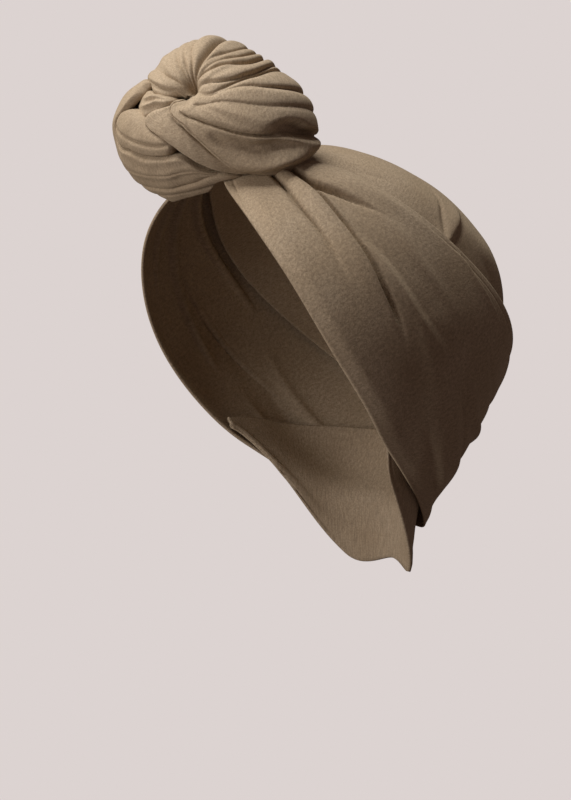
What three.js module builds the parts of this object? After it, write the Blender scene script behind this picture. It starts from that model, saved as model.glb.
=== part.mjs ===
// A turban headwrap: one long jersey scarf, wound round the head in layers and tied above the forehead,
// its two ends twisted together and coiled into a bun on the knot.
// Millimetres and degrees. +Z is up, the wearer faces -Y, and +X is the wearer's left.
// The origin is where the crown of the head meets the inside of the wrap.
import * as THREE from "three";
import { mergeVertices } from "three/addons/utils/BufferGeometryUtils.js";

// The head that the wrap is wound on
const headHalfWidth = 73.4;
const headHalfLength = 92.1;
const headHalfHeight = 81.3;
const neckRadius = 44.5;
const neckBack = 4;
const neckBlend = 8;
// Where the head is fuller than an egg; rise is a share of headHalfLength, and the rest are angles
const fullness = [
  { place: "back of the head", round: 0, elevation: 1.2, rise: 0.061, wide: 50, tall: 27 },
  { place: "nape", round: 0, elevation: -58, rise: 0.103, wide: 50, tall: 14 },
  { place: "forehead", round: 180, elevation: 14, rise: 0.049, wide: 40, tall: 40 },
];

// The cloth, and how its layers lie on each other
const clothWall = 1.8;
const layerGap = 0.65;
const knotTilt = 28.6;
const crownPuff = 4.2;
const sidePuff = 2.8;
const rimWidth = 9;
const pressWidth = 14;
const crownRim = 22;
const napeEase = 1.0;

// The bun: where its centre stands over the head, the way its eye looks, and its own depth
const bunSeat = { round: 177.9, elevation: 60.2 };
const bunRise = 27.1;
const bunTurn = 29;
const bunLift = 12;
const bunFrontDepth = 34;
const bunBackDepth = 36;
const eyeDepth = 7;
const eyeSpread = 15;
const coreRadius = 16;
const leastWall = 1.4;
const bareSeat = 1;
const bunGap = 0.4;
const seatGap = 0.9;

// Shares of a row's reach, round the bun's outline, against bunHalfWidth
const bunHalfWidth = 49;
const bunOutline = [
  { turn: 0, share: 1.0 },
  { turn: 30, share: 0.79 },
  { turn: 60, share: 0.71 },
  { turn: 90, share: 0.76 },
  { turn: 120, share: 0.76 },
  { turn: 150, share: 0.77 },
  { turn: 180, share: 1.01 },
  { turn: 210, share: 1.0 },
  { turn: 240, share: 0.9 },
  { turn: 270, share: 0.81 },
  { turn: 300, share: 0.83 },
  { turn: 330, share: 1.02 },
];

// Sections of the two side wraps, from the knot to the nape. front and top are the edges round the face
// and over the crown: how far along from the knot each is, and its turn round the knot's axis.
const leftSections = [
  { frontAlong: 10, frontTurn: 148, topAlong: 10, topTurn: 64 },
  { frontAlong: 22, frontTurn: 139, topAlong: 22, topTurn: 74 },
  { frontAlong: 38, frontTurn: 129, topAlong: 36, topTurn: 66.5 },
  { frontAlong: 60, frontTurn: 123, topAlong: 58, topTurn: 61.5 },
  { frontAlong: 84, frontTurn: 120, topAlong: 81, topTurn: 54 },
  { frontAlong: 107, frontTurn: 117, topAlong: 101, topTurn: 44.5 },
  { frontAlong: 125, frontTurn: 115, topAlong: 117, topTurn: 32 },
  { frontAlong: 143, frontTurn: 110, topAlong: 130, topTurn: 12 },
  { frontAlong: 157, frontTurn: 103, topAlong: 141, topTurn: -14 },
  { frontAlong: 168, frontTurn: 98, topAlong: 150, topTurn: -42 },
  { frontAlong: 178, frontTurn: 90, topAlong: 157, topTurn: -64 },
  { frontAlong: 173, frontTurn: -90, topAlong: 161, topTurn: -82 },
  { frontAlong: 165, frontTurn: -96, topAlong: 163, topTurn: -93 },
];
const rightSections = [
  { frontAlong: 10, frontTurn: 146, topAlong: 10, topTurn: 60 },
  { frontAlong: 22, frontTurn: 138, topAlong: 22, topTurn: 69 },
  { frontAlong: 38, frontTurn: 129, topAlong: 36, topTurn: 62 },
  { frontAlong: 60, frontTurn: 123, topAlong: 58, topTurn: 57 },
  { frontAlong: 84, frontTurn: 120, topAlong: 81, topTurn: 50 },
  { frontAlong: 107, frontTurn: 117, topAlong: 101, topTurn: 41 },
  { frontAlong: 125, frontTurn: 115, topAlong: 117, topTurn: 28 },
  { frontAlong: 143, frontTurn: 110, topAlong: 130, topTurn: 10 },
  { frontAlong: 157, frontTurn: 103, topAlong: 141, topTurn: -14 },
  { frontAlong: 167, frontTurn: 92, topAlong: 151, topTurn: -42 },
  { frontAlong: 175, frontTurn: 80, topAlong: 161, topTurn: -66 },
];
const crownSections = [
  { along: 10, half: 74 },
  { along: 22, half: 86 },
  { along: 38, half: 82 },
  { along: 60, half: 78 },
  { along: 84, half: 71 },
  { along: 107, half: 61 },
  { along: 125, half: 50 },
  { along: 140, half: 36 },
  { along: 150, half: 22 },
];
// The nape fold, round the back of the neck: how far down its lower edge hangs
const napeSections = [
  { round: -98, low: -38 },
  { round: -91, low: -42 },
  { round: -71, low: -57 },
  { round: -34, low: -66.5 },
  { round: 0, low: -66.5 },
  { round: 34, low: -67.2 },
  { round: 71, low: -58.5 },
  { round: 91, low: -42 },
  { round: 98, low: -38 },
];
const napeTop = -35;

// Pleats in the side wraps. knot, side and nape are the turns that the groove runs through, 30, 70 and
// 110 degrees along; it fades in and out between from and to. deep and wide are shares of sidePuff.
const leftPleats = [
  { knot: 104.3, side: 104.7, nape: 105, from: 12, to: 84, deep: 0.714, wide: 1.071 },
  { knot: 93.5, side: 94.6, nape: 97, from: 12, to: 100, deep: 1, wide: 1.429 },
  { knot: 97, side: 91, nape: 82, from: 50, to: 124, deep: 0.536, wide: 1.607 },
  { knot: 94, side: 70, nape: 47, from: 20, to: 68, deep: 1, wide: 1.607 },
  { knot: 72, side: 70, nape: 60, from: 56, to: 150, deep: 0.429, wide: 1.786 },
  { knot: 84, side: 88, nape: 72, from: 100, to: 172, deep: 0.786, wide: 1.786 },
  { knot: 60, side: 66, nape: 46, from: 112, to: 172, deep: 0.857, wide: 1.786 },
];
const rightPleats = [
  { knot: 114, side: 112, nape: 109, from: 12, to: 70, deep: 0.643, wide: 1.071 },
  { knot: 102, side: 101, nape: 98, from: 12, to: 105, deep: 0.929, wide: 1.429 },
  { knot: 91, side: 87, nape: 80, from: 12, to: 96, deep: 0.857, wide: 1.607 },
  { knot: 80, side: 72, nape: 60, from: 12, to: 140, deep: 0.643, wide: 1.786 },
  { knot: 84, side: 88, nape: 76, from: 104, to: 172, deep: 0.786, wide: 1.786 },
];
// The tall tuck across the back of the crown; rise and sink are shares of crownPuff, and wide and length
// of headHalfWidth
const crownTuck = { along: 79, turn: 42, lean: 0.15, rise: 0.5, wide: 0.09, sink: 0.3, length: 0.24 };

// Strands of the bun, each a row for a section along it. turn and polar place its two edges round the
// eye and away from it. lift raises the section and round is how far its edges fall away, both as shares
// of bunHalfWidth.
const fanSections = [
  { turnA: -150, polarA: 4.5, turnB: 200, polarB: 4.5, lift: 0, round: 0 },
  { turnA: -118, polarA: 13, turnB: 181, polarB: 13, lift: 0, round: 0.031 },
  { turnA: -95, polarA: 24, turnB: 170, polarB: 24, lift: 0.024, round: 0.061 },
  { turnA: -81, polarA: 34, turnB: 162, polarB: 34, lift: 0.037, round: 0.082 },
  { turnA: -73, polarA: 43, turnB: 157, polarB: 43, lift: 0.041, round: 0.092 },
  { turnA: -62, polarA: 66, turnB: 152, polarB: 66, lift: 0.041, round: 0.102 },
  { turnA: -54, polarA: 87, turnB: 151, polarB: 88, lift: 0.031, round: 0.102 },
  { turnA: -35, polarA: 100, turnB: 149, polarB: 108, lift: 0.02, round: 0.102 },
  { turnA: -18, polarA: 118, turnB: 147, polarB: 130, lift: 0, round: 0.082 },
  { turnA: -8, polarA: 140, turnB: 144, polarB: 150, lift: -0.061, round: 0.061 },
  { turnA: -2, polarA: 162, turnB: 142, polarB: 167, lift: -0.184, round: 0.02 },
];
const strapSections = [
  { turnA: 220, polarA: 8, turnB: 206, polarB: 8, lift: -0.02, round: 0.02 },
  { turnA: 249, polarA: 17, turnB: 202, polarB: 25, lift: 0, round: 0.061 },
  { turnA: 262, polarA: 24, turnB: 202, polarB: 37, lift: 0.01, round: 0.071 },
  { turnA: 270, polarA: 29, turnB: 212, polarB: 39.5, lift: 0.01, round: 0.071 },
  { turnA: 276, polarA: 34, turnB: 228, polarB: 38.5, lift: 0.01, round: 0.071 },
  { turnA: 284, polarA: 43, turnB: 250, polarB: 40, lift: 0.01, round: 0.061 },
  { turnA: 290, polarA: 54, turnB: 268, polarB: 49, lift: 0.01, round: 0.051 },
  { turnA: 295, polarA: 66, turnB: 281, polarB: 63, lift: 0.006, round: 0.041 },
  { turnA: 300, polarA: 78, turnB: 292, polarB: 77, lift: 0, round: 0.031 },
  { turnA: 303, polarA: 87, turnB: 299, polarB: 86, lift: -0.02, round: 0.02 },
];
const innerCoilSections = [
  { turnA: 188, polarA: 50, turnB: 190, polarB: 62, lift: -0.041, round: 0.061 },
  { turnA: 195, polarA: 43, turnB: 194, polarB: 75, lift: -0.01, round: 0.082 },
  { turnA: 204, polarA: 42, turnB: 204, polarB: 71, lift: 0, round: 0.092 },
  { turnA: 213, polarA: 42, turnB: 214, polarB: 65, lift: 0, round: 0.092 },
  { turnA: 226, polarA: 41, turnB: 226, polarB: 57, lift: 0, round: 0.082 },
  { turnA: 240, polarA: 41, turnB: 240, polarB: 50.5, lift: 0, round: 0.061 },
  { turnA: 251, polarA: 43.5, turnB: 252, polarB: 48, lift: -0.01, round: 0.041 },
];
const outerLoopSections = [
  { turnA: 160, polarA: 43, turnB: 157, polarB: 64, lift: 0.01, round: 0.061 },
  { turnA: 170, polarA: 45, turnB: 168, polarB: 84, lift: 0.01, round: 0.082 },
  { turnA: 181, polarA: 49, turnB: 180, polarB: 98, lift: 0.016, round: 0.082 },
  { turnA: 188, polarA: 78, turnB: 192, polarB: 106, lift: 0.02, round: 0.082 },
  { turnA: 200, polarA: 77, turnB: 206, polarB: 104, lift: 0.02, round: 0.092 },
  { turnA: 214, polarA: 68, turnB: 220, polarB: 92, lift: 0.01, round: 0.092 },
  { turnA: 226, polarA: 60.5, turnB: 232, polarB: 84, lift: 0.01, round: 0.092 },
  { turnA: 241, polarA: 53.5, turnB: 245, polarB: 77, lift: 0, round: 0.082 },
  { turnA: 256, polarA: 51, turnB: 259, polarB: 72.5, lift: -0.01, round: 0.082 },
  { turnA: 266, polarA: 55, turnB: 270, polarB: 72, lift: -0.016, round: 0.071 },
  { turnA: 278, polarA: 65, turnB: 280, polarB: 73.5, lift: -0.024, round: 0.051 },
  { turnA: 287, polarA: 75, turnB: 288, polarB: 77, lift: -0.037, round: 0.02 },
];
const upperRollSections = [
  { turnA: 208, polarA: 106, turnB: 210, polarB: 113, lift: 0, round: 0.051 },
  { turnA: 221, polarA: 94.5, turnB: 223, polarB: 103, lift: 0.02, round: 0.051 },
  { turnA: 233, polarA: 86, turnB: 236, polarB: 93, lift: 0.02, round: 0.051 },
  { turnA: 246, polarA: 79, turnB: 250, polarB: 84, lift: 0.02, round: 0.051 },
  { turnA: 260, polarA: 75, turnB: 263, polarB: 80, lift: 0.01, round: 0.051 },
  { turnA: 271, polarA: 74.5, turnB: 273, polarB: 79.5, lift: 0.01, round: 0.051 },
  { turnA: 281, polarA: 76.5, turnB: 284, polarB: 84, lift: 0, round: 0.051 },
  { turnA: 290, polarA: 80.5, turnB: 294, polarB: 89, lift: -0.01, round: 0.041 },
  { turnA: 299, polarA: 88, turnB: 302, polarB: 94, lift: -0.031, round: 0.041 },
];
const lowerRollSections = [
  { turnA: 212, polarA: 116, turnB: 214, polarB: 124, lift: -0.02, round: 0.061 },
  { turnA: 225, polarA: 105.5, turnB: 227, polarB: 122, lift: 0.01, round: 0.071 },
  { turnA: 238, polarA: 95.5, turnB: 240, polarB: 118, lift: 0.02, round: 0.082 },
  { turnA: 252, polarA: 86.5, turnB: 254, polarB: 116, lift: 0.02, round: 0.082 },
  { turnA: 265, polarA: 82.5, turnB: 267, polarB: 116, lift: 0.01, round: 0.082 },
  { turnA: 277, polarA: 83.5, turnB: 279, polarB: 118, lift: 0, round: 0.082 },
  { turnA: 288, polarA: 90, turnB: 291, polarB: 120, lift: 0, round: 0.082 },
  { turnA: 300, polarA: 96.5, turnB: 304, polarB: 122, lift: -0.02, round: 0.082 },
  { turnA: 313, polarA: 103, turnB: 320, polarB: 128, lift: -0.061, round: 0.082 },
];
const backCoilSections = [
  { turnA: 154.5, polarA: 69, turnB: 150, polarB: 158, lift: -0.02, round: 0.082 },
  { turnA: 164, polarA: 88, turnB: 166, polarB: 166, lift: -0.01, round: 0.102 },
  { turnA: 177, polarA: 102, turnB: 184, polarB: 168, lift: -0.01, round: 0.102 },
  { turnA: 190, polarA: 111, turnB: 200, polarB: 168, lift: -0.01, round: 0.102 },
  { turnA: 205, polarA: 121, turnB: 220, polarB: 168, lift: -0.01, round: 0.102 },
  { turnA: 221, polarA: 130, turnB: 240, polarB: 168, lift: -0.02, round: 0.082 },
  { turnA: 238, polarA: 126, turnB: 260, polarB: 168, lift: -0.02, round: 0.082 },
  { turnA: 258, polarA: 122, turnB: 280, polarB: 168, lift: -0.02, round: 0.082 },
  { turnA: 280, polarA: 124, turnB: 302, polarB: 168, lift: -0.02, round: 0.082 },
  { turnA: 306, polarA: 128, turnB: 325, polarB: 166, lift: -0.041, round: 0.061 },
  { turnA: 328, polarA: 133, turnB: 346, polarB: 164, lift: -0.061, round: 0.061 },
];
const tuckSections = [
  { turnA: 186, polarA: 15, turnB: 200, polarB: 16, lift: -0.061, round: 0.031 },
  { turnA: 177, polarA: 23, turnB: 197, polarB: 24, lift: -0.061, round: 0.051 },
  { turnA: 170, polarA: 30, turnB: 196, polarB: 31, lift: -0.071, round: 0.061 },
  { turnA: 168, polarA: 36, turnB: 195, polarB: 37, lift: -0.082, round: 0.061 },
  { turnA: 170, polarA: 41, turnB: 190, polarB: 42, lift: -0.102, round: 0.061 },
];
// Creases of the fan, each through five turns at these distances from the eye; the last is a swelling.
// deep and wide are shares of bunHalfWidth.
const creaseStations = [10, 30, 50, 70, 95];
const fanCreases = [
  { turns: [-105, -52, -32, -22, -11], from: 8, to: 118, deep: 0.102, wide: 0.102 },
  { turns: [-60, -10, -6, -3, 3], from: 10, to: 130, deep: 0.033, wide: 0.082 },
  { turns: [-20, 2, 9, 12, 17], from: 8, to: 135, deep: 0.069, wide: 0.065 },
  { turns: [-5, 11, 17, 22, 26], from: 8, to: 135, deep: 0.049, wide: 0.061 },
  { turns: [26, 35, 37, 42, 50], from: 8, to: 135, deep: 0.065, wide: 0.065 },
  { turns: [40, 70, 75, 77, 82], from: 8, to: 135, deep: 0.069, wide: 0.065 },
  { turns: [55, 86, 97, 104, 110], from: 8, to: 56, deep: 0.053, wide: 0.061 },
  { turns: [80, 108, 118, 124, 128], from: 8, to: 46, deep: 0.037, wide: 0.061 },
  { turns: [-120, -76, -52, -38, -26], from: 40, to: 130, deep: -0.082, wide: 0.143 },
];

const radians = THREE.MathUtils.degToRad;
const degrees = THREE.MathUtils.radToDeg;
const headCentre = new THREE.Vector3(0, 0, -headHalfHeight);

// A smooth curve through the rows of a table: its columns at any value of the first one.
function reader(rows, key) {
  const columns = Object.keys(rows[0]).filter((name) => typeof rows[0][name] === "number");
  const stops = rows.map((row) => row[key]);
  const slope = (column, i) => {
    const before = Math.max(i - 1, 0);
    const after = Math.min(i + 1, rows.length - 1);
    return (rows[after][column] - rows[before][column]) / (stops[after] - stops[before]);
  };
  return (value) => {
    const at = THREE.MathUtils.clamp(value, stops[0], stops[stops.length - 1]);
    let i = 0;
    while (i < rows.length - 2 && at > stops[i + 1]) i += 1;
    const span = stops[i + 1] - stops[i];
    const t = (at - stops[i]) / span;
    const result = {};
    for (const column of columns) {
      const start = rows[i][column];
      const end = rows[i + 1][column];
      const rise = slope(column, i) * span;
      const fall = slope(column, i + 1) * span;
      result[column] =
        start * (2 * t ** 3 - 3 * t ** 2 + 1) +
        rise * (t ** 3 - 2 * t ** 2 + t) +
        end * (3 * t ** 2 - 2 * t ** 3) +
        fall * (t ** 3 - t ** 2);
    }
    return result;
  };
}

// The direction at an elevation and a turn round from the back of the head towards the left
function compass(round, elevation) {
  const flat = Math.cos(radians(elevation));
  return new THREE.Vector3(
    Math.sin(radians(round)) * flat,
    Math.cos(radians(round)) * flat,
    Math.sin(radians(elevation)),
  );
}

// How far the neck lies from the middle of the head, in a direction below it
function neckReach(direction) {
  const flat = Math.hypot(direction.x, direction.y);
  const along = (direction.y * neckBack) / flat;
  const across = (direction.x * neckBack) / flat;
  return (Math.sqrt(neckRadius ** 2 - across ** 2) + along) / flat;
}

// How far the inside of the wrap lies from the middle of the head, in a direction
function headReach(direction) {
  const { x, y, z } = direction;
  let reach = 1 / Math.hypot(x / headHalfWidth, y / headHalfLength, z / headHalfHeight);
  for (const { round, elevation, rise, wide, tall } of fullness) {
    const ahead = direction.dot(compass(round, elevation));
    const sideways = degrees(Math.atan2(direction.dot(compass(round + 90, 0)), ahead));
    const upwards = degrees(Math.atan2(direction.dot(compass(round, elevation + 90)), ahead));
    reach += rise * headHalfLength * Math.exp(-((sideways / wide) ** 2) - (upwards / tall) ** 2);
  }
  const neck = neckReach(direction);
  const joined = (reach + neck + Math.hypot(reach - neck, neckBlend)) / 2;
  return THREE.MathUtils.lerp(reach, joined, THREE.MathUtils.smoothstep(-z, 0.2, 0.6));
}

const knotAxis = compass(180, 90 - knotTilt);
const backAxis = compass(0, knotTilt);
const leftAxis = new THREE.Vector3(1, 0, 0);

// The direction at a distance along from the knot to the nape and a turn round that axis
function wrapDirection(along, turn) {
  const around = backAxis
    .clone()
    .multiplyScalar(Math.cos(radians(turn)))
    .addScaledVector(leftAxis, Math.sin(radians(turn)));
  return knotAxis
    .clone()
    .multiplyScalar(Math.cos(radians(along)))
    .addScaledVector(around, Math.sin(radians(along)));
}

function wrapPlace(direction) {
  return {
    along: degrees(direction.angleTo(knotAxis)),
    turn: degrees(Math.atan2(direction.dot(leftAxis), direction.dot(backAxis))),
  };
}

const smooth = THREE.MathUtils.smoothstep;

// Rises over the first margin of a span and falls over its last
function fade(value, from, to, margin) {
  return smooth(value, from, from + margin) * (1 - smooth(value, to - margin, to));
}

// Fullness of a side wrap, drawn down to the head along its grooves and at its two edges, which are
// inFront and above millimetres away
function sideRelief(pleats, along, turn, inFront, above) {
  const mmPerTurn = radians(1) * headHalfWidth * Math.sin(radians(along));
  const puff = sidePuff * smooth(along, 8, 45) * (1 - 0.5 * smooth(along, 90, 135));
  let relief = puff * smooth(Math.min(inFront, above), -1, rimWidth);
  for (const { knot, side, nape, from, to, deep, wide } of pleats) {
    const t = (along - 30) / 40;
    const groove = knot + (side - knot) * t + ((nape - 2 * side + knot) * t * (t - 1)) / 2;
    const off = (turn - groove) * mmPerTurn;
    relief -= deep * sidePuff * fade(along, from, to, 16) * Math.exp(-((off / (wide * sidePuff)) ** 2));
  }
  return Math.max(relief, 0);
}

const leftTopEdge = reader(leftSections, "topAlong");
const rightTopEdge = reader(rightSections, "topAlong");
const leftFrontEdge = reader(leftSections.slice(0, 9), "frontAlong");
const rightFrontEdge = reader(rightSections.slice(0, 9), "frontAlong");

function crownRelief(along, turn) {
  const mmPerTurn = radians(1) * headHalfWidth * Math.sin(radians(along));
  const clear = Math.min(leftTopEdge(along).topTurn - turn, rightTopEdge(along).topTurn + turn) * mmPerTurn;
  const middle = smooth(clear, 0, crownRim);
  const open = fade(along, 20, 124, 30);
  const off = radians(along - crownTuck.along - crownTuck.lean * (Math.abs(turn) - crownTuck.turn));
  const aside = (radians(turn - crownTuck.turn) * Math.sin(radians(along))) / crownTuck.length;
  const ridge = crownTuck.rise * Math.exp(-((off / crownTuck.wide) ** 2));
  const valley = crownTuck.sink * Math.exp(-((off / crownTuck.wide - 1) ** 2));
  const tuck = (ridge - valley) * Math.exp(-(aside ** 2)) * smooth(clear, 0, crownRim / 2);
  return crownPuff * Math.max(0, middle * open + tuck);
}

// Bends a flat slab of cloth: each corner goes where place(across, along, wall) says,
// with across and along from 0 to 1 and wall 0 inside or 1 outside.
function bend(name, cells, place) {
  const slab = new THREE.BoxGeometry(1, 1, 1, cells.across, cells.along, 1);
  slab.deleteAttribute("normal");
  slab.deleteAttribute("uv");
  const geometry = mergeVertices(slab);
  const corners = geometry.getAttribute("position");
  for (let i = 0; i < corners.count; i += 1) {
    const point = place(corners.getX(i) + 0.5, corners.getY(i) + 0.5, corners.getZ(i) + 0.5);
    corners.setXYZ(i, point.x, point.y, point.z);
  }
  if (volume(geometry) < 0) geometry.index.array.reverse();
  geometry.computeVertexNormals();
  const mesh = new THREE.Mesh(geometry, cloth);
  mesh.name = name;
  return mesh;
}

function volume(geometry) {
  const corner = [new THREE.Vector3(), new THREE.Vector3(), new THREE.Vector3()];
  const positions = geometry.getAttribute("position");
  let sum = 0;
  for (let i = 0; i < geometry.index.count; i += 3) {
    corner.forEach((point, k) => point.fromBufferAttribute(positions, geometry.index.getX(i + k)));
    sum += corner[0].dot(corner[1].clone().cross(corner[2])) / 6;
  }
  return sum;
}

const cloth = new THREE.MeshStandardMaterial({ color: 0x9a8a68, roughness: 0.9, metalness: 0 });

function layerStart(layer) {
  return layer * (clothWall + layerGap);
}

function fromHead(direction, distance) {
  return headCentre.clone().addScaledVector(direction, distance);
}

// The base layer: over the crown and down the back of the head
function crownPanel() {
  const section = reader(crownSections, "along");
  const first = crownSections[0].along;
  const last = crownSections[crownSections.length - 1].along;
  return bend("crown_panel", { across: 20, along: 22 }, (across, down, wall) => {
    const along = THREE.MathUtils.lerp(first, last, down);
    const turn = (2 * across - 1) * section(along).half;
    const direction = wrapDirection(along, turn);
    return fromHead(direction, headReach(direction) + crownRelief(along, turn) + wall * clothWall);
  });
}

// The base layer's lower edge, round the nape
function napeFold() {
  const section = reader(napeSections, "round");
  const first = napeSections[0].round;
  const last = napeSections[napeSections.length - 1].round;
  return bend("nape_fold", { across: 7, along: 24 }, (across, roundShare, wall) => {
    const round = THREE.MathUtils.lerp(first, last, roundShare);
    const elevation = THREE.MathUtils.lerp(napeTop, section(round).low, across);
    const direction = compass(round, elevation);
    return fromHead(direction, headReach(direction) + wall * clothWall);
  });
}

// A side wrap, from under the bun round the side of the head to the nape. The right one lies below,
// and is pressed flat where the left one crosses it.
function sideWrap(name, side, layer, sections, pleats, cells) {
  const rows = sections.map((row, i) => {
    const front = wrapDirection(row.frontAlong, row.frontTurn);
    const top = wrapDirection(row.topAlong, row.topTurn);
    return { station: i, fx: front.x, fy: front.y, fz: front.z, tx: top.x, ty: top.y, tz: top.z };
  });
  const section = reader(rows, "station");
  return bend(name, cells, (across, down, wall) => {
    const row = section(down * (rows.length - 1));
    const front = new THREE.Vector3(row.fx, row.fy, row.fz).normalize();
    const top = new THREE.Vector3(row.tx, row.ty, row.tz).normalize();
    const sweep = front.angleTo(top);
    const width = headHalfWidth * sweep;
    const direction = front
      .multiplyScalar(Math.sin((1 - across) * sweep))
      .addScaledVector(top, Math.sin(across * sweep))
      .normalize();
    const { along, turn } = wrapPlace(direction);
    const relief = sideRelief(pleats, along, turn, width * across, width * (1 - across));
    const mmPerTurn = radians(1) * headHalfWidth * Math.sin(radians(along));
    const clear = side > 0 ? pressWidth : (leftTopEdge(along).topTurn + turn) * mmPerTurn;
    const ease = napeEase * smooth(along, 130, 150);
    const lift = layerStart(layer) + ease + relief * smooth(clear, 0, pressWidth);
    direction.x *= side;
    return fromHead(direction, headReach(direction) + lift + wall * clothWall);
  });
}

// The bun's own frame, its eye looking to the front left
const bunFoot = compass(bunSeat.round, bunSeat.elevation);
const bunCentre = fromHead(bunFoot, headReach(bunFoot) + bunRise);
const bunAxis = compass(180 - bunTurn, bunLift);
const bunRight = new THREE.Vector3(Math.cos(radians(bunTurn)), Math.sin(radians(bunTurn)), 0);
const bunUp = bunAxis.clone().cross(bunRight);

function bunDirection(turn, polar) {
  const around = bunRight
    .clone()
    .multiplyScalar(Math.cos(radians(turn)))
    .addScaledVector(bunUp, Math.sin(radians(turn)));
  return bunAxis
    .clone()
    .multiplyScalar(Math.cos(radians(polar)))
    .addScaledVector(around, Math.sin(radians(polar)));
}

// The bun's outline at a turn round the eye
const outlineAround = reader(
  [-60, -30].map((turn) => ({ turn, share: bunOutline[bunOutline.length + turn / 30].share })).concat(
    bunOutline,
    [0, 30].map((turn) => ({ turn: turn + 360, share: bunOutline[turn / 30].share })),
  ),
  "turn",
);

function bunReach(turn, polar) {
  const outline = bunHalfWidth * outlineAround(THREE.MathUtils.euclideanModulo(turn, 360)).share;
  const depth = polar < 90 ? bunFrontDepth : bunBackDepth;
  const dome = 1 / Math.hypot(Math.cos(radians(polar)) / depth, Math.sin(radians(polar)) / outline);
  return dome - eyeDepth * Math.exp(-((polar / eyeSpread) ** 2));
}

// How high the wraps stand over a place on the head, and next to nothing before their front edges
function seatHeight(direction) {
  const { along, turn } = wrapPlace(direction);
  const edge = turn > 0 ? leftFrontEdge(along) : rightFrontEdge(along);
  const open = (Math.abs(turn) - edge.frontTurn) * radians(1) * headHalfWidth * Math.sin(radians(along));
  const wrapped = layerStart(2) + clothWall + sidePuff * smooth(along, 8, 45);
  return THREE.MathUtils.lerp(wrapped, bareSeat, smooth(open, bunGap, rimWidth));
}

// How far the bun may reach in a direction before it meets the wraps below it
function seatReach(direction) {
  const inside = (distance) => {
    const point = bunCentre.clone().addScaledVector(direction, distance).sub(headCentre);
    const place = point.clone().normalize();
    return point.length() < headReach(place) + seatHeight(place);
  };
  const step = 4;
  let far = 0;
  while (far < 2 * bunHalfWidth && !inside(far)) far += step;
  if (far >= 2 * bunHalfWidth) return Infinity;
  let near = far - step;
  for (let i = 0; i < 12; i += 1) {
    const middle = (near + far) / 2;
    if (inside(middle)) far = middle;
    else near = middle;
  }
  return near - seatGap;
}

function coreReach(direction) {
  return Math.min(coreRadius, seatReach(direction) - leastWall - bunGap);
}

// One strand of the bun, from the knot's core out to its own rounded section
function strand(name, cells, sections, crease = () => 0) {
  const rows = sections.map((row, i) => ({ station: i, ...row }));
  const section = reader(rows, "station");
  return bend(name, cells, (across, down, wall) => {
    const row = section(down * (rows.length - 1));
    const turn = THREE.MathUtils.lerp(row.turnA, row.turnB, across);
    const polar = THREE.MathUtils.lerp(row.polarA, row.polarB, across);
    const direction = bunDirection(turn, polar);
    const inner = coreReach(direction) + bunGap;
    const fall = row.round * Math.abs(2 * across - 1) ** 3.5;
    const outer = bunReach(turn, polar) + bunHalfWidth * (row.lift - fall - crease(turn, polar));
    const held = Math.max(inner + leastWall, Math.min(outer, seatReach(direction)));
    return bunCentre.clone().addScaledVector(direction, wall ? held : inner);
  });
}

function fanCrease(turn, polar) {
  const sharePerTurn = (radians(1) * bunReach(turn, polar) * Math.sin(radians(polar))) / bunHalfWidth;
  let depth = 0;
  for (const { turns, from, to, deep, wide } of fanCreases) {
    const stops = creaseStations.map((station, i) => ({ station, turn: turns[i] }));
    const off = (turn - reader(stops, "station")(polar).turn) * sharePerTurn;
    depth += deep * fade(polar, from, to, 14) * Math.exp(-((off / wide) ** 2));
  }
  return depth;
}

function knotCore() {
  const ball = new THREE.SphereGeometry(1, 16, 10);
  ball.deleteAttribute("normal");
  ball.deleteAttribute("uv");
  const geometry = mergeVertices(ball);
  const corners = geometry.getAttribute("position");
  for (let i = 0; i < corners.count; i += 1) {
    const direction = new THREE.Vector3().fromBufferAttribute(corners, i).normalize();
    const point = bunCentre.clone().addScaledVector(direction, coreReach(direction));
    corners.setXYZ(i, point.x, point.y, point.z);
  }
  geometry.computeVertexNormals();
  const mesh = new THREE.Mesh(geometry, cloth);
  mesh.name = "knot_core";
  return mesh;
}

const headwrap = new THREE.Group();
headwrap.add(
  crownPanel(),
  napeFold(),
  sideWrap("wrap_right", -1, 1, rightSections, rightPleats, { across: 18, along: 20 }),
  sideWrap("wrap_left", 1, 2, leftSections, leftPleats, { across: 24, along: 23 }),
  knotCore(),
  strand("bun_fan", { across: 48, along: 11 }, fanSections, fanCrease),
  strand("bun_strap", { across: 6, along: 14 }, strapSections),
  strand("bun_inner_coil", { across: 6, along: 10 }, innerCoilSections),
  strand("bun_outer_loop", { across: 7, along: 18 }, outerLoopSections),
  strand("bun_upper_roll", { across: 4, along: 12 }, upperRollSections),
  strand("bun_lower_roll", { across: 6, along: 12 }, lowerRollSections),
  strand("bun_back_coil", { across: 7, along: 16 }, backCoilSections),
  strand("bun_tuck", { across: 4, along: 6 }, tuckSections),
);

export default headwrap;
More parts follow.
